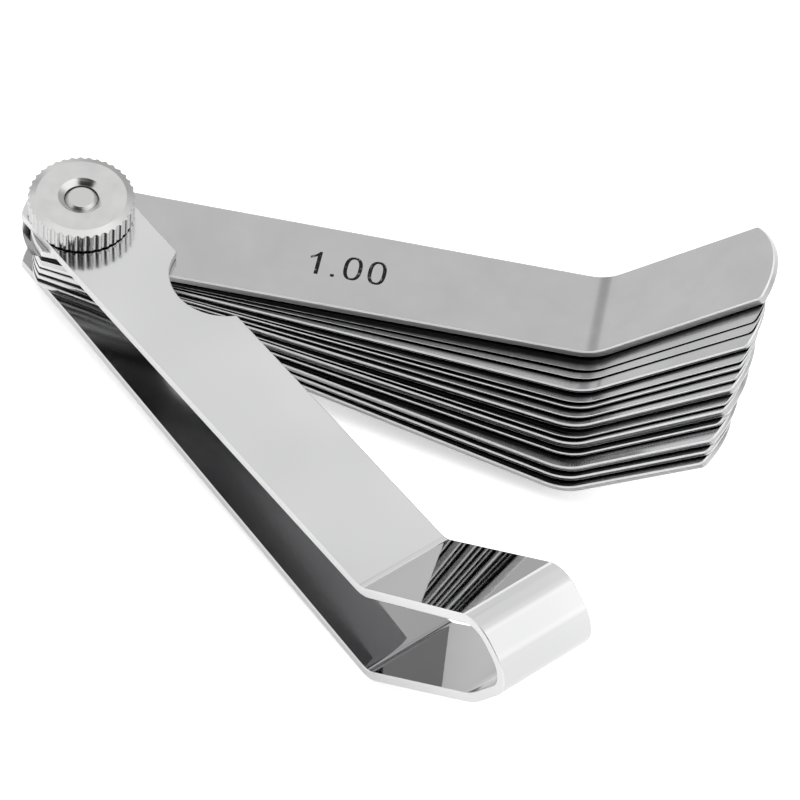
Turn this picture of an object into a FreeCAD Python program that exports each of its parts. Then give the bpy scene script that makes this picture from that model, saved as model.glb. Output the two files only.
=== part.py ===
import FreeCAD, Part
import math
import os

# Offset feeler gauge: fourteen bent steel blades turn on one screw inside a holder folded from
# a single strip. All sizes are millimetres and all angles degrees.
# The screw's axis is +Z, with the origin on the underside of its head, which the gauge rests on.
# The holder lies along +X, the bent tips rise towards +Z, and the blades are fanned towards +Y.

V = FreeCAD.Vector

# Blades, from the one under the nut down: thickness, angle it is fanned out to, and length of
# its pivot end from the axis.
blade_set = [
    (1.00, 42.1, 6.0),
    (0.05, 40.5, 7.0),
    (0.10, 39.5, 5.6),
    (0.50, 38.1, 5.6),
    (0.15, 37.0, 5.6),
    (0.30, 36.5, 5.6),
    (0.25, 35.6, 5.6),
    (0.75, 34.8, 5.6),
    (0.20, 33.9, 5.6),
    (0.90, 33.4, 5.6),
    (0.40, 32.8, 5.6),
    (0.70, 31.4, 5.6),
    (0.60, 30.8, 5.6),
    (0.80, 30.1, 5.6),
]

# Strip, common to the blades and the holder
strip_width = 12.0
end_radius = 8.2              # round pivot ends
land = 7.0                    # flat stretch round the screw, from its axis
stack_gap = 0.06              # running gap between neighbours under the nut

# Blades
bend_distance = 63.1          # axis to the bend, on the top face of the top blade
blade_rise = 0.87             # of the top blade from its flat stretch to its bend
bend_radius = 6.0             # on the middle of the sheet
top_tip_angle = 41.5          # rise of the top blade's tip
tip_angle_step = 0.08         # each blade below rises this much more steeply
tip_reach = 81.6              # axis to the ends of the tips, in plan
tip_end_radius = 10.0
tip_end_offset = 1.3          # of the end's centre, to the side away from the fan
tip_corner_radius = 0.8
nest_clearance = 0.004        # left between two bent tips as they pass

# Holder
sheet = 1.2
holder_end = 6.5              # length of its pivot ends from the axis
holder_clearance = 0.12       # left between the holder's tips and the blades as they pass
roof_crease_step = 0.86       # fold of the upper plate, beyond the top blade's bend
roof_tip_angle = 41.8
floor_crease_step = 0.55      # fold of the lower plate, beyond the bottom blade's bend
floor_tip_angle = 44.5
floor_tip_flare = 16.0        # the lower tip turns up this much more near the nose
flare_room = 1.0              # flare beyond the ends of the blades
flare_radius = 12.0
nose_room = 0.3               # upper corner of the nose beyond the ends of the blades
nose_wall_angle = 35.5        # fall of the nose's wall, away from the axis
nose_top_radius = 2.6         # inside the nose
nose_bottom_radius = 3.4
crease_radius = 2.5           # inside each fold

# Finger notch in the fan side of both plates
notch_distance = 17.4
notch_radius = 6.7
notch_depth = 3.9

# Screw and nut
screw_diameter = 4.0
screw_clearance = 0.05        # round the screw, in every hole
screw_chamfer = 0.45
screw_recess = 0.3            # end of the screw below the top of the nut
head_diameter = 8.0
head_height = 2.4             # the gauge rests on the head and on the holder's lower fold
head_chamfer = 0.4
nut_diameter = 12.8
nut_height = 3.15
nut_gap = 0.05
nut_collar_diameter = 10.6
nut_collar_height = 0.2
nut_foot_chamfer = 0.2
nut_chamfer_width = 1.0
nut_chamfer_height = 0.35
nut_mouth_diameter = 5.6
nut_mouth_depth = 0.35
nut_thread_relief = 0.2       # the bore's mouth, wider than the screw all round
flute_count = 38
flute_radius = 0.42
flute_depth = 0.25

side = strip_width / 2
floor = head_height + sheet
roof = floor + stack_gap + sum(thickness + stack_gap for thickness, angle, end in blade_set)
beyond = 4 * tip_reach        # long enough for any cutter to pass right through


def direction(angle):
    """Unit vector in the XZ plane, at an angle above +X."""
    return V(math.cos(math.radians(angle)), 0, math.sin(math.radians(angle)))


def heading(start, end):
    """Angle above +X of the way from one point to another."""
    return math.degrees(math.atan2(end.z - start.z, end.x - start.x))


def meet(point_a, angle_a, point_b, angle_b):
    """Point where two lines in the XZ plane cross."""
    a = direction(angle_a)
    b = direction(angle_b)
    gap = point_b - point_a
    along = (gap.x * b.z - gap.z * b.x) / (a.x * b.z - a.z * b.x)
    return point_a + a * along


def face_line(corners, radii, offset):
    """One face of a bent sheet: lines between rounded corners, shifted to the right by offset."""
    angles = [heading(a, b) for a, b in zip(corners, corners[1:])]
    edges = []
    start = corners[0] + direction(angles[0] - 90) * offset
    for corner, radius, before, after in zip(corners[1:], radii, angles, angles[1:]):
        turn = (after - before + 180) % 360 - 180
        half = math.radians(turn / 2)
        miter = corner + direction((before + turn / 2) - 90) * (offset / math.cos(half))
        if radius == 0:
            edges.append(Part.LineSegment(start, miter).toShape())
            start = miter
            continue
        left = 1 if turn > 0 else -1
        bend = radius + offset * left
        reach = bend * math.tan(abs(half))
        entry = miter - direction(before) * reach
        leave = miter + direction(after) * reach
        inward = direction(before + turn / 2 + 90 * left)
        middle = miter + inward * (bend / math.cos(half) - bend)
        edges.append(Part.LineSegment(start, entry).toShape())
        edges.append(Part.Arc(entry, middle, leave).toShape())
        start = leave
    end = corners[-1] + direction(angles[-1] - 90) * offset
    edges.append(Part.LineSegment(start, end).toShape())
    return edges, corners[0] + direction(angles[0] - 90) * offset, end


def bent_strip(corners, radii, thickness):
    """A strip of sheet on the right of the line through the corners, as wide as the gauge."""
    inner, inner_start, inner_end = face_line(corners, radii, 0)
    outer, outer_start, outer_end = face_line(corners, radii, thickness)
    caps = [
        Part.LineSegment(inner_start, outer_start).toShape(),
        Part.LineSegment(inner_end, outer_end).toShape(),
    ]
    wire = Part.Wire(Part.__sortEdges__(inner + outer + caps))
    strip = Part.Face(wire).extrude(V(0, strip_width, 0))
    strip.translate(V(0, -side, 0))
    return strip


def end_waste(length, radius, offset):
    """What a punch takes off a strip that ends at this length: a block less the round end."""
    low = V(length - radius / 2, -strip_width, -beyond / 2)
    block = Part.makeBox(2 * radius, 2 * strip_width, beyond, low)
    disc = Part.makeCylinder(radius, beyond, V(length - radius, offset, -beyond / 2))
    return block.cut(disc)


def pivot_waste(length):
    """The same at a pivot end of this length from the axis."""
    waste = end_waste(length, end_radius, 0)
    waste.rotate(V(0, 0, 0), V(0, 0, 1), 180)
    return waste


def screw_hole():
    """Cutter for the hole that turns on the screw."""
    radius = screw_diameter / 2 + screw_clearance
    return Part.makeCylinder(radius, beyond, V(0, 0, -beyond / 2))


def passing_gap(distance, angle):
    """Height that two bent tips need between them, at this distance, to pass as they turn.

    A point on the edge of a blade lies further from its bend line than the same point does on
    the middle of its neighbour, by the rise of a chord as wide as the blade."""
    return strip_width ** 2 / (8 * distance) * math.tan(math.radians(angle))


def make_blade(top, thickness, pivot_end, crease, tip_angle):
    """A blade at zero fan angle. top is its face height at the screw; crease the top face's bend."""
    tip_length = (tip_reach - crease.x) / math.cos(math.radians(tip_angle))
    end = crease + direction(tip_angle) * (tip_length + tip_end_radius)
    corners = [V(-end_radius, 0, top), V(land, 0, top), crease, end]
    blade = bent_strip(corners, [0, bend_radius - thickness / 2], thickness)
    tip_waste = end_waste(tip_length, tip_end_radius, -tip_end_offset)
    tip_waste.rotate(V(0, 0, 0), V(0, 1, 0), -tip_angle)
    tip_waste.translate(crease)
    blade = blade.cut([pivot_waste(pivot_end), screw_hole(), tip_waste])
    corner_edges = [
        edge
        for edge in blade.Edges
        if edge.Length < 1.01 * thickness
        and all(abs(abs(v.Y) - side) < 1e-4 and v.X > crease.x for v in edge.Vertexes)
    ]
    return blade.makeFillet(tip_corner_radius, corner_edges)


def lay_out_blades():
    """Top face height, thickness, pivot end, bend and tip angle of each blade, from the top down.

    Each bend lies outside the one above it by the turn of the sheet between them, and lower by
    the gap that the two need to pass."""
    layout = []
    top = roof - stack_gap
    crease = V(bend_distance, 0, top + blade_rise)
    tip_angle = top_tip_angle
    for thickness, fan_angle, pivot_end in blade_set:
        layout.append((top, thickness, pivot_end, crease, tip_angle))
        slope = heading(V(land, 0, top), crease)
        step_out = thickness * math.tan(math.radians((tip_angle - slope) / 2))
        tip_angle += tip_angle_step
        gap = passing_gap(crease.x + step_out, tip_angle) + nest_clearance
        crease = crease + V(step_out, 0, -thickness - gap)
        top -= thickness + stack_gap
    return layout


def blade_name(thickness):
    """Node name with the size in whole millimetres and hundredths."""
    return "blade_%d_%02d" % divmod(round(thickness * 100), 100)


def make_blades(layout):
    """Every blade at its fan angle."""
    blades = {}
    for place, (thickness, fan_angle, pivot_end) in zip(layout, blade_set):
        blade = make_blade(*place)
        blade.rotate(V(0, 0, 0), V(0, 0, 1), fan_angle)
        blades[blade_name(thickness)] = blade
    return blades


def make_holder(layout):
    """The folded strip: lower plate, its tip, the nose, the upper tip and the upper plate.

    The upper tip clears the top blade at its bend, and the lower tip clears the bottom blade at
    its end."""
    top_bend = layout[0][3]
    over_bend = top_bend + V(0, 0, passing_gap(top_bend.x, roof_tip_angle) + holder_clearance)
    roof_fold = over_bend + direction(roof_tip_angle) * (
        roof_crease_step / math.cos(math.radians(roof_tip_angle))
    )
    nose_top = over_bend + direction(roof_tip_angle) * (
        (tip_reach + nose_room - top_bend.x) / math.cos(math.radians(roof_tip_angle))
    )

    last_top, thickness, pivot_end, last_bend, tip_angle = layout[-1]
    slope = heading(V(land, 0, last_top), last_bend)
    step_out = thickness * math.tan(math.radians((tip_angle - slope) / 2))
    under_bend = last_bend + V(step_out, 0, -thickness)
    under_end = meet(under_bend, tip_angle, V(tip_reach, 0, 0), 90)
    under_end.z -= passing_gap(tip_reach, tip_angle) + holder_clearance
    fold_distance = under_bend.x + floor_crease_step
    floor_fold = meet(under_end, floor_tip_angle, V(fold_distance, 0, 0), 90)
    flare = meet(under_end, floor_tip_angle, V(tip_reach + flare_room, 0, 0), 90)
    nose_bottom = meet(flare, floor_tip_angle + floor_tip_flare, nose_top, -nose_wall_angle)

    corners = [
        V(-end_radius, 0, floor),
        V(land, 0, floor),
        floor_fold,
        flare,
        nose_bottom,
        nose_top,
        roof_fold,
        V(land, 0, roof),
        V(-end_radius, 0, roof),
    ]
    radii = [
        0,
        crease_radius,
        flare_radius,
        nose_bottom_radius,
        nose_top_radius,
        crease_radius + sheet,
        0,
    ]
    holder = bent_strip(corners, radii, sheet)
    notch_centre = V(notch_distance, side - notch_depth + notch_radius, -beyond / 2)
    notch = Part.makeCylinder(notch_radius, beyond, notch_centre)
    return holder.cut([pivot_waste(holder_end), screw_hole(), notch])


def turned(profile):
    """Solid turned about the Z axis from a closed outline of (radius, height) points."""
    points = [V(radius, 0, height) for radius, height in profile]
    face = Part.Face(Part.makePolygon(points + points[:1]))
    return face.revolve(V(0, 0, 0), V(0, 0, 1), 360)


def make_nut(base):
    """Knurled thumb nut: a collar, a fluted rim and a dished mouth round the screw."""
    top = base + nut_height
    rim = nut_diameter / 2
    collar = nut_collar_diameter / 2
    bore = screw_diameter / 2 + screw_clearance
    relief = bore + nut_thread_relief
    mouth = nut_mouth_diameter / 2
    nut = turned([
        (bore, base),
        (collar, base),
        (collar, base + nut_collar_height),
        (rim - nut_foot_chamfer, base + nut_collar_height),
        (rim, base + nut_collar_height + nut_foot_chamfer),
        (rim, top - nut_chamfer_height),
        (rim - nut_chamfer_width, top),
        (mouth, top),
        (relief, top - nut_mouth_depth),
        (bore, top - nut_mouth_depth - nut_thread_relief),
    ])
    low = base + nut_collar_height
    centre = rim - flute_depth + flute_radius
    flutes = []
    for index in range(flute_count):
        flute = Part.makeCylinder(flute_radius, nut_height, V(centre, 0, low))
        flute.rotate(V(0, 0, 0), V(0, 0, 1), index * 360 / flute_count)
        flutes.append(flute)
    return nut.cut(flutes)


def make_screw(end):
    """Flat-headed screw from under the holder to just below the top of the nut."""
    shank = screw_diameter / 2
    head = head_diameter / 2
    return turned([
        (0, 0),
        (head - head_chamfer, 0),
        (head, head_chamfer),
        (head, head_height),
        (shank, head_height),
        (shank, end - screw_chamfer),
        (shank - screw_chamfer, end),
        (0, end),
    ])


def main():
    layout = lay_out_blades()
    nut_base = roof + sheet + nut_gap
    pieces = make_blades(layout)
    pieces["holder"] = make_holder(layout)
    pieces["knurled_nut"] = make_nut(nut_base)
    pieces["pivot_screw"] = make_screw(nut_base + nut_height - screw_recess)
    os.makedirs("parts", exist_ok=True)
    for name, shape in pieces.items():
        solid = shape.Solids[0]
        print(name, "valid", shape.isValid(), "solids", len(shape.Solids), "volume", round(solid.Volume, 2))
        solid.exportStep("parts/%s.step" % name)


main()
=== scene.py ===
import math

import bmesh
import bpy
from mathutils import Matrix, Vector, geometry


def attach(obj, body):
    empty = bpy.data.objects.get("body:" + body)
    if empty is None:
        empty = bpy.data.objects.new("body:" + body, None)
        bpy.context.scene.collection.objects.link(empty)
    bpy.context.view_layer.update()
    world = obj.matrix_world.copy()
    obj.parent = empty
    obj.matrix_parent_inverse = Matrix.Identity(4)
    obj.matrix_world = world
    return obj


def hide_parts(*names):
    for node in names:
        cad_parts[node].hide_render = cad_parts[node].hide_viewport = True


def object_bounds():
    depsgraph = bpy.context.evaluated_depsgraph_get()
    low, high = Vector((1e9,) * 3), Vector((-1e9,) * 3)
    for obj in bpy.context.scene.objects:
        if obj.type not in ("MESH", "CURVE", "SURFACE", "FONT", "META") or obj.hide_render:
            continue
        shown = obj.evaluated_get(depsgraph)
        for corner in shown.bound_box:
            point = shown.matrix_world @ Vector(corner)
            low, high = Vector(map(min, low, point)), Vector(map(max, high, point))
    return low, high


# Looks of the offset feeler gauge. Lengths here are millimetres until MM turns them into metres.
MM = 0.001
TOP_FAN = 42.1            # fan angle of the top blade, degrees
TOP_FACE = 11.14          # height of its top face round the screw
TOP_RISE = 0.87           # how far that face climbs before its bend
BLADE_BEND = 63.1         # screw's axis to the bend
LAND = 7.0                # flat stretch round the screw
MIDDLE_FAN = 36.0         # fan angle of the middle of the stack, degrees

# Thickness of each blade whose edge and corners are painted black near the screw, a painted shadow
# in the gaps between blades
EDGES_IN_PAINTED_SHADOW = (0.05, 0.10, 0.15, 0.20, 0.40, 0.50, 0.60)

# Middle of the space inside the holder, in the plane of its profile
HOLDER_MIDDLE = [Vector((-10, 0, 7.4)), Vector((65, 0, 7.4)), Vector((84, 0, 24.0))]

# The photograph's view: side of the square picture in pixels, azimuth, elevation and roll in
# degrees, distance in mm, pixels per mm at the origin, and the pixel where the origin lies.
PICTURE = 800
CAM_AZIMUTH, CAM_ELEVATION, CAM_ROLL = 46.911, 51.788, 7.317
CAM_DISTANCE = 429.3
CAM_SCALE = 8.1662
CAM_ORIGIN = (80.6, 279.4)

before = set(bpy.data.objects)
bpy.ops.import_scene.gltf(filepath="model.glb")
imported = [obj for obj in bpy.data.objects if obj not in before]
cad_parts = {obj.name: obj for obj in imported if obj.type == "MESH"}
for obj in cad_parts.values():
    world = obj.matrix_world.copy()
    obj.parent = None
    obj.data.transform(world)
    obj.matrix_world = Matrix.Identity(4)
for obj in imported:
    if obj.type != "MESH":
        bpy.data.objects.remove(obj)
cad_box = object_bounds()


def linear(hex_colour):
    """sRGB hex colour as linear RGBA."""
    channels = [int(hex_colour[i:i + 2], 16) / 255 for i in (1, 3, 5)]
    return [c / 12.92 if c <= 0.04045 else ((c + 0.055) / 1.055) ** 2.4 for c in channels] + [1.0]


def add(tree, kind, settings=None, stops=(), **inputs):
    """A node with its settings and inputs. An input is a value, or an output socket to link.

    stops are the positions and hex colours of a colour ramp."""
    node = tree.nodes.new(kind)
    for name, value in (settings or {}).items():
        setattr(node, name, value)
    for place, (position, colour) in enumerate(stops):
        band = node.color_ramp.elements
        if place == len(band):
            band.new(position)
        band[place].position = position
        band[place].color = linear(colour)
    for name, value in inputs.items():
        key = int(name[1:]) if name[0] == "i" and name[1:].isdigit() else name.replace("_", " ")
        socket = node.inputs[key]
        if isinstance(value, bpy.types.NodeSocket):
            tree.links.new(value, socket)
        else:
            socket.default_value = value
    return node


def new_material(name):
    """A material without nodes, and its node tree."""
    material = bpy.data.materials.new(name)
    material.use_nodes = True
    material.node_tree.nodes.clear()
    return material, material.node_tree


def from_screw(tree, place):
    """Distance from the screw's axis, in metres."""
    flat = add(tree, "ShaderNodeVectorMath", {"operation": "MULTIPLY"}, i0=place, i1=(1, 1, 0))
    reach = add(tree, "ShaderNodeVectorMath", {"operation": "LENGTH"}, i0=flat.outputs["Vector"])
    return reach.outputs["Value"]


def satin_spring_steel(name, shade_in_steps):
    """Hardened spring steel strip, rolled and ground to its thickness, then satin polished.

    Rolling leaves hairlines along the strip, drawn 0.15 mm apart, that soften reflections.
    Handling leaves faint cloudy patches a few millimetres wide. Blades inside the stack get painted
    shade from ambient occlusion, black in the steps between them, 2 to 3 mm deep, but little of it
    within 7 mm of the screw's axis, fading in by 10 mm, and less again on the tips beyond 62 mm."""
    material, tree = new_material(name)
    place = add(tree, "ShaderNodeTexCoord").outputs["Object"]
    along = add(
        tree, "ShaderNodeMapping", Vector=place, Rotation=(0, 0, math.radians(-MIDDLE_FAN))
    )
    hairline = add(
        tree, "ShaderNodeMapping", Vector=along.outputs["Vector"],
        Scale=(60.0, 6500.0, 6500.0),      # per metre, along the strip and across it
    )
    grind = add(
        tree, "ShaderNodeTexNoise", Vector=hairline.outputs["Vector"], Scale=1.0, Detail=3.0
    )
    cloud = add(tree, "ShaderNodeTexNoise", Vector=place, Scale=160.0, Detail=3.0, Roughness=0.6)
    colour = add(
        tree, "ShaderNodeValToRGB", stops=[(0.3, "#B2B2B3"), (0.7, "#B8B8B9")],
        Fac=cloud.outputs["Fac"],
    ).outputs["Color"]
    if shade_in_steps:
        # painted shade: ambient occlusion darkens the faces in the steps between blades, lifted
        # near the screw and on the tips
        crevice = add(tree, "ShaderNodeAmbientOcclusion", {"samples": 12}, Distance=3 * MM)
        reach = from_screw(tree, place)
        lifted_near_screw = add(
            tree, "ShaderNodeMapRange", Value=reach, From_Min=7 * MM, From_Max=10 * MM,
            To_Min=0.6, To_Max=0.0,
        )
        lifted_on_tips = add(
            tree, "ShaderNodeMapRange", Value=reach, From_Min=62 * MM, From_Max=70 * MM,
            To_Min=0.0, To_Max=0.12,
        )
        open_share = crevice.outputs["AO"]
        for lift in (lifted_near_screw, lifted_on_tips):
            open_share = add(
                tree, "ShaderNodeMath", {"operation": "ADD"}, i0=open_share,
                i1=lift.outputs["Result"],
            ).outputs[0]
        # colour of the painted shade, from black in the steps to none in the open
        step_shade = add(
            tree, "ShaderNodeValToRGB", Fac=open_share,
            stops=[(0.70, "#3A3A3B"), (0.90, "#5C5C5D"), (0.985, "#FFFFFF")],
        )
        colour = add(
            tree, "ShaderNodeVectorMath", {"operation": "MULTIPLY"}, i0=colour,
            i1=step_shade.outputs["Color"],
        ).outputs["Vector"]
    rough = add(
        tree, "ShaderNodeMapRange", Value=cloud.outputs["Fac"], From_Min=0.3, From_Max=0.7,
        To_Min=0.13, To_Max=0.18,
    )
    bump = add(
        tree, "ShaderNodeBump", Height=grind.outputs["Fac"], Strength=0.12, Distance=0.01 * MM
    )
    surface = add(
        tree, "ShaderNodeBsdfPrincipled", Base_Color=colour, Metallic=1.0,
        Roughness=rough.outputs["Result"], Normal=bump.outputs["Normal"],
    )
    add(tree, "ShaderNodeOutputMaterial", Surface=surface.outputs["BSDF"])
    return material


def near_screw(tree, place, near, far):
    """Colour that is near to 12 mm from the screw's axis and far from 18 mm on."""
    share = add(
        tree, "ShaderNodeMapRange", Value=from_screw(tree, place),
        From_Min=12 * MM, From_Max=18 * MM,
    )
    mixed = add(
        tree, "ShaderNodeMix", {"data_type": "RGBA"}, i0=share.outputs["Result"], i6=near, i7=far
    )
    return mixed.outputs[2]


def slit_blade_edge(name, near, dark, pale, roughness):
    """The slit edge of the strip: bare metal with a faint oily film, darker than its corners.

    Slitting leaves fine lines along the edge, drawn 0.12 mm apart. Near the screw the edges of some
    blades are painted black, a painted shadow in the gaps between blades, and the others painted
    bright, a painted highlight.
    The top blade's edge is handled most, which wipes off the film and leaves it matt."""
    material, tree = new_material(name)
    place = add(tree, "ShaderNodeTexCoord").outputs["Object"]
    stretched = add(tree, "ShaderNodeMapping", Vector=place, Scale=(90.0, 90.0, 8000.0))
    lines = add(
        tree, "ShaderNodeTexNoise", Vector=stretched.outputs["Vector"], Scale=1.0, Detail=2.0
    )
    film = add(
        tree, "ShaderNodeValToRGB", stops=[(0.35, dark), (0.6, pale)], Fac=lines.outputs["Fac"]
    )
    # near the screw the edge takes a painted colour: black for painted shadow, bright for painted
    # highlight
    colour = near_screw(tree, place, linear(near), film.outputs["Color"])
    surface = add(
        tree, "ShaderNodeBsdfPrincipled", Base_Color=colour, Metallic=1.0, Roughness=roughness,
    )
    add(tree, "ShaderNodeOutputMaterial", Surface=surface.outputs["BSDF"])
    return material


def emeried_corner(name, near):
    """Corners of the blades, broken with emery cloth: bright fresh metal, matt.

    Near the screw the corners of blades with black edges are painted black too, a painted shadow in
    the gaps between blades; the others stay bright."""
    material, tree = new_material(name)
    place = add(tree, "ShaderNodeTexCoord").outputs["Object"]
    surface = add(
        tree, "ShaderNodeBsdfPrincipled", Metallic=1.0, Roughness=0.6,
        Base_Color=near_screw(tree, place, linear(near), linear("#F2F2F2")),
    )
    add(tree, "ShaderNodeOutputMaterial", Surface=surface.outputs["BSDF"])
    return material


def slit_strip_edge():
    """The holder's slit edges, satin: the mop rounds them but doesn't bring up a mirror."""
    material, tree = new_material("slit_strip_edge")
    place = add(tree, "ShaderNodeTexCoord").outputs["Object"]
    haze = add(tree, "ShaderNodeTexNoise", Vector=place, Scale=60.0, Detail=1.0)
    colour = add(
        tree, "ShaderNodeValToRGB", stops=[(0.3, "#DADADA"), (0.7, "#E2E2E2")],
        Fac=haze.outputs["Fac"],
    )
    surface = add(
        tree, "ShaderNodeBsdfPrincipled", Base_Color=colour.outputs["Color"], Metallic=1.0,
        Roughness=0.34,
    )
    add(tree, "ShaderNodeOutputMaterial", Surface=surface.outputs["BSDF"])
    return material


def mirror_polished_strip(name, dark, pale):
    """Stainless strip, buffed to a mirror: slightly wavy, sharpest on the bent tip.

    The mops reach the outside of the folded strip. Its inside is painted darker, painted shade
    inside the fold.
    The flat plates are hazed a little by wiping and by the blades that slide along them."""
    material, tree = new_material(name)
    place = add(tree, "ShaderNodeTexCoord").outputs["Object"]
    wave = add(tree, "ShaderNodeTexNoise", Vector=place, Scale=40.0, Detail=0.0)
    haze = add(tree, "ShaderNodeTexNoise", Vector=place, Scale=60.0, Detail=1.0)
    along = add(tree, "ShaderNodeSeparateXYZ", Vector=place).outputs["X"]
    rough = add(
        tree, "ShaderNodeMapRange", {"interpolation_type": "SMOOTHSTEP"}, Value=along,
        From_Min=55 * MM, From_Max=63 * MM, To_Min=0.15, To_Max=0.025,
    )
    colour = add(
        tree, "ShaderNodeValToRGB", stops=[(0.3, dark), (0.7, pale)], Fac=haze.outputs["Fac"]
    )
    bump = add(
        tree, "ShaderNodeBump", Height=wave.outputs["Fac"], Strength=0.3, Distance=0.03 * MM
    )
    surface = add(
        tree, "ShaderNodeBsdfPrincipled", Base_Color=colour.outputs["Color"], Metallic=1.0,
        Roughness=rough.outputs["Result"], Normal=bump.outputs["Normal"],
    )
    add(tree, "ShaderNodeOutputMaterial", Surface=surface.outputs["BSDF"])
    return material


def bright_nickel():
    """Nickel plate over turned brass: white metal, with lathe rings on the flat top.

    The rings are 0.2 mm apart and very shallow, and handling leaves faint cloudy patches."""
    material, tree = new_material("bright_nickel")
    place = add(tree, "ShaderNodeTexCoord").outputs["Object"]
    rings = add(
        tree, "ShaderNodeTexWave",
        {"wave_type": "RINGS", "rings_direction": "Z", "wave_profile": "SIN"},
        Vector=place, Scale=1600.0, Distortion=0.6, Detail=2.0,
    )
    cloud = add(tree, "ShaderNodeTexNoise", Vector=place, Scale=450.0, Detail=3.0)
    colour = add(
        tree, "ShaderNodeValToRGB", stops=[(0.3, "#C6C6C6"), (0.7, "#CFCFCE")],
        Fac=cloud.outputs["Fac"],
    )
    rough = add(
        tree, "ShaderNodeMapRange", Value=cloud.outputs["Fac"], From_Min=0.3, From_Max=0.7,
        To_Min=0.14, To_Max=0.20,
    )
    bump = add(
        tree, "ShaderNodeBump", Height=rings.outputs["Fac"], Strength=0.15, Distance=0.005 * MM
    )
    surface = add(
        tree, "ShaderNodeBsdfPrincipled", Base_Color=colour.outputs["Color"], Metallic=1.0,
        Roughness=rough.outputs["Result"], Normal=bump.outputs["Normal"],
    )
    add(tree, "ShaderNodeOutputMaterial", Surface=surface.outputs["BSDF"])
    return material


def turned_steel():
    """Free-cutting steel, faced on a lathe: rings about 0.2 mm apart on the end."""
    material, tree = new_material("turned_steel")
    place = add(tree, "ShaderNodeTexCoord").outputs["Object"]
    rings = add(
        tree, "ShaderNodeTexWave",
        {"wave_type": "RINGS", "rings_direction": "Z", "wave_profile": "SIN"},
        Vector=place, Scale=1600.0, Distortion=1.0, Detail=2.0,
    )
    bump = add(
        tree, "ShaderNodeBump", Height=rings.outputs["Fac"], Strength=0.3, Distance=0.01 * MM
    )
    colour = add(
        tree, "ShaderNodeValToRGB", stops=[(0.2, "#C2C2C1"), (0.8, "#CDCDCB")],
        Fac=rings.outputs["Fac"],
    )
    surface = add(
        tree, "ShaderNodeBsdfPrincipled", Base_Color=colour.outputs["Color"], Metallic=1.0,
        Roughness=0.27, Normal=bump.outputs["Normal"],
    )
    add(tree, "ShaderNodeOutputMaterial", Surface=surface.outputs["BSDF"])
    return material


def etched_black():
    """Electro-etched oxide: matt black in the steel, rubbed back to bare metal in places."""
    material, tree = new_material("etched_black")
    place = add(tree, "ShaderNodeTexCoord").outputs["Object"]
    rub = add(tree, "ShaderNodeTexNoise", Vector=place, Scale=1900.0, Detail=2.0, Roughness=0.6)
    colour = add(
        tree, "ShaderNodeValToRGB", stops=[(0.58, "#0D0D0E"), (0.70, "#77777A")],
        Fac=rub.outputs["Fac"],
    )
    surface = add(
        tree, "ShaderNodeBsdfPrincipled", Base_Color=colour.outputs["Color"], Metallic=0.0,
        Roughness=0.6, Specular_IOR_Level=0.2,
    )
    add(tree, "ShaderNodeOutputMaterial", Surface=surface.outputs["BSDF"])
    return material


def blade_finish(face):
    """1 on the narrow sides of a blade, 0 on its faces."""
    return int(abs(face.normal.z) < 0.3)


def holder_finish(face):
    """2 on the slit edges of the folded strip, 1 on its inside and 0 on its outside.

    The inside looks towards the middle of the gauge."""
    centre = face.calc_center_median() / MM
    if abs(face.normal.y) > 0.5:
        return 2
    towards_middle = []
    for start, end in zip(HOLDER_MIDDLE, HOLDER_MIDDLE[1:]):
        share = geometry.intersect_point_line(centre, start, end)[1]
        towards_middle.append(start.lerp(end, min(max(share, 0.0), 1.0)) - centre)
    return int(face.normal.dot(min(towards_middle, key=lambda way: way.length)) > 0)


def dressed_node(name, body, materials, edge, finish=None, smooth=32.0, level=32.0):
    """The CAD node again with its triangles merged, its edges broken and smooth bends.

    finish tells which of the materials a face takes. Broken edges take the third, if any.
    Faces that meet at less than smooth degrees, or level for level faces, are shaded as one."""
    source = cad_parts[name]
    mesh = bmesh.new()
    mesh.from_mesh(source.data)
    bmesh.ops.remove_doubles(mesh, verts=mesh.verts, dist=0.002 * MM)
    bmesh.ops.dissolve_limit(
        mesh, angle_limit=math.radians(0.3), verts=mesh.verts, edges=mesh.edges
    )
    bmesh.ops.recalc_face_normals(mesh, faces=mesh.faces)
    for face in mesh.faces:
        face.material_index = finish(face) if finish else 0
        face.smooth = True
    for line in mesh.edges:
        is_level = any(abs(face.normal.z) > 0.9999 for face in line.link_faces)
        line.smooth = line.calc_face_angle(0.0) < math.radians(level if is_level else smooth)
    data = bpy.data.meshes.new(name + "_dressed")
    mesh.to_mesh(data)
    mesh.free()
    piece = bpy.data.objects.new(name + "_dressed", data)
    bpy.context.scene.collection.objects.link(piece)
    for material in materials:
        data.materials.append(material)
    bevel = piece.modifiers.new("broken_edges", "BEVEL")
    bevel.width = edge * MM
    bevel.segments = 2
    bevel.limit_method = "ANGLE"
    bevel.angle_limit = math.radians(40)
    bevel.miter_outer = "MITER_ARC"
    if len(materials) > 2:
        bevel.material = 2
    weighted = piece.modifiers.new("flat_faces_stay_flat", "WEIGHTED_NORMAL")
    weighted.keep_sharp = True
    weighted.weight = 100
    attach(piece, body)
    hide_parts(name)


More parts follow.
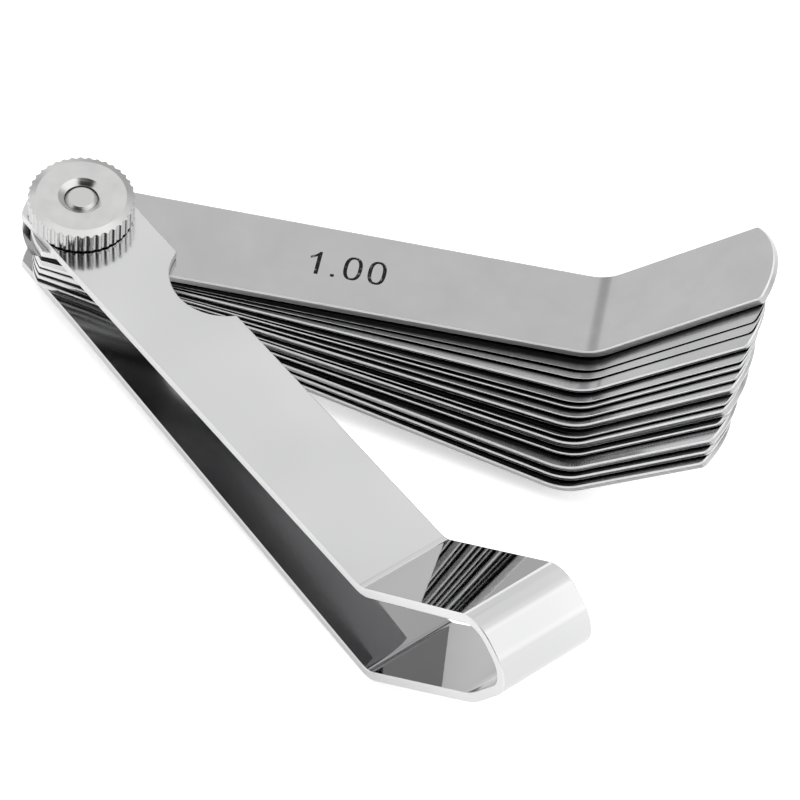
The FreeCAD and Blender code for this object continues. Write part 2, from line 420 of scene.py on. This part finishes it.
def size_mark(material):
    """The size, 1.00, in plain digits near the middle of the top blade, as a thin dark layer.

    Positions are mm along the blade and across it."""
    layer = 0.006             # above the steel
    sunk = 0.004              # and in it
    foot = -1.55              # of all the digits
    middle_height = 0.25
    half_height = 1.80
    stroke = 0.46             # down the sides of a nought
    thin_stroke = 0.32        # at its top and bottom
    squareness = 0.8          # 1 would be an ellipse
    steps = 64
    mesh = bmesh.new()

    def face(points):
        mesh.faces.new([mesh.verts.new((x, y, 0)) for x, y in points])

    def nought(left, right):
        rims = []
        for inset_x, inset_y in ((0, 0), (stroke, thin_stroke)):
            half_x = (right - left) / 2 - inset_x
            half_y = half_height - inset_y
            rim = []
            for k in range(steps):
                turn = 2 * math.pi * k / steps
                c, s = math.cos(turn), math.sin(turn)
                rim.append(mesh.verts.new((
                    (left + right) / 2 + half_x * math.copysign(abs(c) ** squareness, c),
                    middle_height + half_y * math.copysign(abs(s) ** squareness, s),
                    0,
                )))
            rims.append(rim)
        outer, inner = rims
        for k in range(steps):
            n = (k + 1) % steps
            mesh.faces.new([outer[k], outer[n], inner[n], inner[k]])

    # the 1, its stem and its flag, then the point and the two noughts
    face([(28.74, foot), (29.22, foot), (29.22, 1.97), (28.93, 1.97), (28.74, 1.70)])
    face([
        (27.92, 0.78), (28.36, 0.96), (28.74, 1.24), (28.74, 1.70), (28.48, 1.44), (27.92, 1.14),
    ])
    face([(30.72, foot), (31.18, foot), (31.18, -1.14), (30.72, -1.14)])
    nought(32.10, 34.32)
    nought(35.06, 37.24)
    bmesh.ops.remove_doubles(mesh, verts=mesh.verts, dist=0.0005)
    bmesh.ops.recalc_face_normals(mesh, faces=mesh.faces)
    lifted = bmesh.ops.extrude_face_region(mesh, geom=mesh.faces[:])
    for item in lifted["geom"]:
        if isinstance(item, bmesh.types.BMVert):
            item.co.z += layer + sunk
    turn = Matrix.Rotation(math.radians(TOP_FAN), 3, "Z")
    for vert in mesh.verts:
        climb = TOP_RISE * (vert.co.x - LAND) / (BLADE_BEND - LAND)
        vert.co.z += TOP_FACE + climb - sunk
        vert.co = turn @ vert.co * MM
    bmesh.ops.recalc_face_normals(mesh, faces=mesh.faces)
    data = bpy.data.meshes.new("size_mark")
    mesh.to_mesh(data)
    mesh.free()
    data.materials.append(material)
    piece = bpy.data.objects.new("size_mark", data)
    bpy.context.scene.collection.objects.link(piece)
    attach(piece, "leaf_1_00")


def studio():
    """White floor under an even soft sky, with a dark screen high on the camera's side.

    The screen is what the gaps between blades and the flutes of the nut reflect. Paler and dimmer
    patches of sky stand for the lamps and the room that the polished strip mirrors."""
    size = 3.0                # half the side of the floor, m
    below = 0.1 * MM          # the gauge stands this far above it
    camera_glow = 0.5         # with the light that falls on the floor, just white
    mirrored_glow = 0.14      # fainter in the metal, so that the inside of the holder stays dark
    overcast_level = 1.15
    sky_level = 1.04
    darkest_sky = 0.02

    floor = bpy.data.meshes.new("floor")
    floor.from_pydata(
        [(-size, -size, 0), (size, -size, 0), (size, size, 0), (-size, size, 0)], [], [(0, 1, 2, 3)]
    )
    floor_object = bpy.data.objects.new("floor", floor)
    floor_object.location.z = cad_box[0].z - below
    bpy.context.scene.collection.objects.link(floor_object)
    material, tree = new_material("white_paper_floor")
    path = add(tree, "ShaderNodeLightPath")
    mirrored = add(
        tree, "ShaderNodeMath", {"operation": "MAXIMUM"},
        i0=path.outputs["Is Glossy Ray"], i1=path.outputs["Is Transmission Ray"],
    )
    faint = add(
        tree, "ShaderNodeMath", {"operation": "MULTIPLY"}, i0=mirrored.outputs[0],
        i1=mirrored_glow,
    )
    strength = add(
        tree, "ShaderNodeMath", {"operation": "MULTIPLY_ADD"},
        i0=path.outputs["Is Camera Ray"], i1=camera_glow, i2=faint.outputs[0],
    )
    paper = add(tree, "ShaderNodeBsdfDiffuse", Color=linear("#F4F4F4"))
    glow = add(
        tree, "ShaderNodeEmission", Color=linear("#FFFFFF"), Strength=strength.outputs[0]
    )
    both = add(tree, "ShaderNodeAddShader", i0=paper.outputs[0], i1=glow.outputs[0])
    add(tree, "ShaderNodeOutputMaterial", Surface=both.outputs[0])
    floor.materials.append(material)

    world = bpy.data.worlds.new("studio")
    bpy.context.scene.world = world
    world.use_nodes = True
    tree = world.node_tree
    tree.nodes.clear()
    path = add(tree, "ShaderNodeLightPath")
    way = add(tree, "ShaderNodeTexCoord").outputs["Generated"]
    # direction, inner and outer angle of each soft-edged patch, and what it adds to the sky
    patches = [
        ((0.28, -0.56, 0.78), 22, 36, -1.0),      # the dark screen
        ((-0.85, 0.20, 0.50), 4, 15, -0.4),       # gap in the sky, seen in the blades' bends
        ((0.90, 0.42, 0.0), 12, 40, 0.27),        # paler sky low at the right, seen in the nose
        ((0.50, 0.42, 0.75), 16, 34, 0.40),       # lamp behind, seen in the nose
        ((-0.35, 0.93, 0.05), 22, 50, -0.45),     # dimmer sky low behind the gauge
        ((0.0, 0.0, 1.0), 14, 33, 0.25),          # lamp overhead, seen in the nut's chamfer
    ]
    level = sky_level
    for centre, inner, outer, change in patches:
        nearness = add(
            tree, "ShaderNodeVectorMath", {"operation": "DOT_PRODUCT"},
            i0=way, i1=Vector(centre).normalized(),
        )
        patch = add(
            tree, "ShaderNodeMapRange", {"interpolation_type": "SMOOTHSTEP"},
            Value=nearness.outputs["Value"],
            From_Min=math.cos(math.radians(outer)), From_Max=math.cos(math.radians(inner)),
            To_Min=0.0, To_Max=change,
        )
        level = add(
            tree, "ShaderNodeMath", {"operation": "ADD"}, i0=patch.outputs["Result"], i1=level
        ).outputs[0]
    level = add(tree, "ShaderNodeMath", {"operation": "MAXIMUM"}, i0=level, i1=darkest_sky)
    soft = add(tree, "ShaderNodeBackground", Color=linear("#FFFFFF"), Strength=level.outputs[0])
    white = add(tree, "ShaderNodeBackground", Color=linear("#FFFFFF"), Strength=1.0)
    mix = add(
        tree, "ShaderNodeMixShader", i0=path.outputs["Is Camera Ray"],
        i1=soft.outputs[0], i2=white.outputs[0],
    )
    add(tree, "ShaderNodeOutputWorld", Surface=mix.outputs[0])

    # an even overhead light for the floor alone, because metal shows only the sky above
    lamp = bpy.data.lights.new("overcast", "SUN")
    lamp.angle = math.radians(100)
    lamp.energy = overcast_level
    lamp_object = bpy.data.objects.new("overcast", lamp)
    lamp_object.rotation_euler = (math.radians(-14), math.radians(-9), 0)
    lamp_object.visible_glossy = False
    bpy.context.scene.collection.objects.link(lamp_object)


def camera():
    """The photograph's view: azimuth and elevation of the camera, its roll, and where it looks."""
    azimuth, elevation, roll = map(math.radians, (CAM_AZIMUTH, CAM_ELEVATION, CAM_ROLL))
    focal = CAM_SCALE * CAM_DISTANCE
    back = Vector((
        math.sin(azimuth) * math.cos(elevation),
        -math.cos(azimuth) * math.cos(elevation),
        math.sin(elevation),
    ))
    right = Vector((math.cos(azimuth), math.sin(azimuth), 0))
    up = back.cross(right)
    across = right * math.cos(roll) + up * math.sin(roll)
    upward = -right * math.sin(roll) + up * math.cos(roll)
    x0 = (CAM_ORIGIN[0] - PICTURE / 2) / CAM_SCALE
    y0 = (PICTURE / 2 - CAM_ORIGIN[1]) / CAM_SCALE
    eye = across * -x0 + upward * -y0 + back * CAM_DISTANCE
    data = bpy.data.cameras.new("camera")
    data.sensor_width = 36
    data.lens = focal / PICTURE * data.sensor_width
    data.clip_start = 0.01
    data.clip_end = 20
    view = bpy.data.objects.new("camera", data)
    view.matrix_world = Matrix((
        (across.x, upward.x, back.x, eye.x * MM),
        (across.y, upward.y, back.y, eye.y * MM),
        (across.z, upward.z, back.z, eye.z * MM),
        (0, 0, 0, 1),
    ))
    bpy.context.scene.collection.objects.link(view)
    bpy.context.scene.camera = view


camera()
studio()

clean_steel = satin_spring_steel("satin_spring_steel", False)
# blades inside the stack, with painted shade in the steps between them
steel_with_painted_shade = satin_spring_steel("spring_steel_painted_shade", True)
bright_corner = emeried_corner("emeried_corner", "#F2F2F2")
# painted highlight: these edges are painted bright near the screw
bright_sides = (
    slit_blade_edge("slit_blade_edge", "#E6E6E6", "#8C8C8D", "#A6A6A7", 0.22), bright_corner,
)
# painted shadow: these edges and corners are painted black near the screw, for the gaps between
# blades
black_sides = (
    slit_blade_edge("edge_in_painted_shadow", "#1E1E1F", "#8C8C8D", "#A6A6A7", 0.22),
    emeried_corner("corner_in_painted_shadow", "#2A2A2B"),
)
top_sides = (
    slit_blade_edge("wiped_blade_edge", "#E6E6E6", "#C4C4C4", "#DEDEDE", 0.5), bright_corner,
)

for node in sorted(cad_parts):
    if node.startswith("blade_"):
        thickness = int(node[6:].replace("_", "")) / 100
        steel, sides = steel_with_painted_shade, bright_sides
        if thickness == 1:
            steel, sides = clean_steel, top_sides
        elif thickness in EDGES_IN_PAINTED_SHADOW:
            sides = black_sides
        dressed_node(
            node, node.replace("blade_", "leaf_"), (steel, *sides),
            min(0.16, 0.33 * thickness), blade_finish,
        )
dressed_node(
    "holder", "holder", (
        mirror_polished_strip("mirror_polished_strip", "#CBCBCC", "#D3D3D3"),
        # painted shade: the inside of the folded strip is painted darker than its outside
        mirror_polished_strip("strip_inside_painted_shade", "#969697", "#9E9E9F"),
        slit_strip_edge(),
    ), 0.12, holder_finish,
)
dressed_node(
    "knurled_nut", "thumb_nut", (bright_nickel(),), 0.05, smooth=38.0, level=12.0
)
dressed_node("pivot_screw", "holder", (turned_steel(),), 0.05)
size_mark(etched_black())

bpy.context.scene.view_settings.view_transform = "Standard"
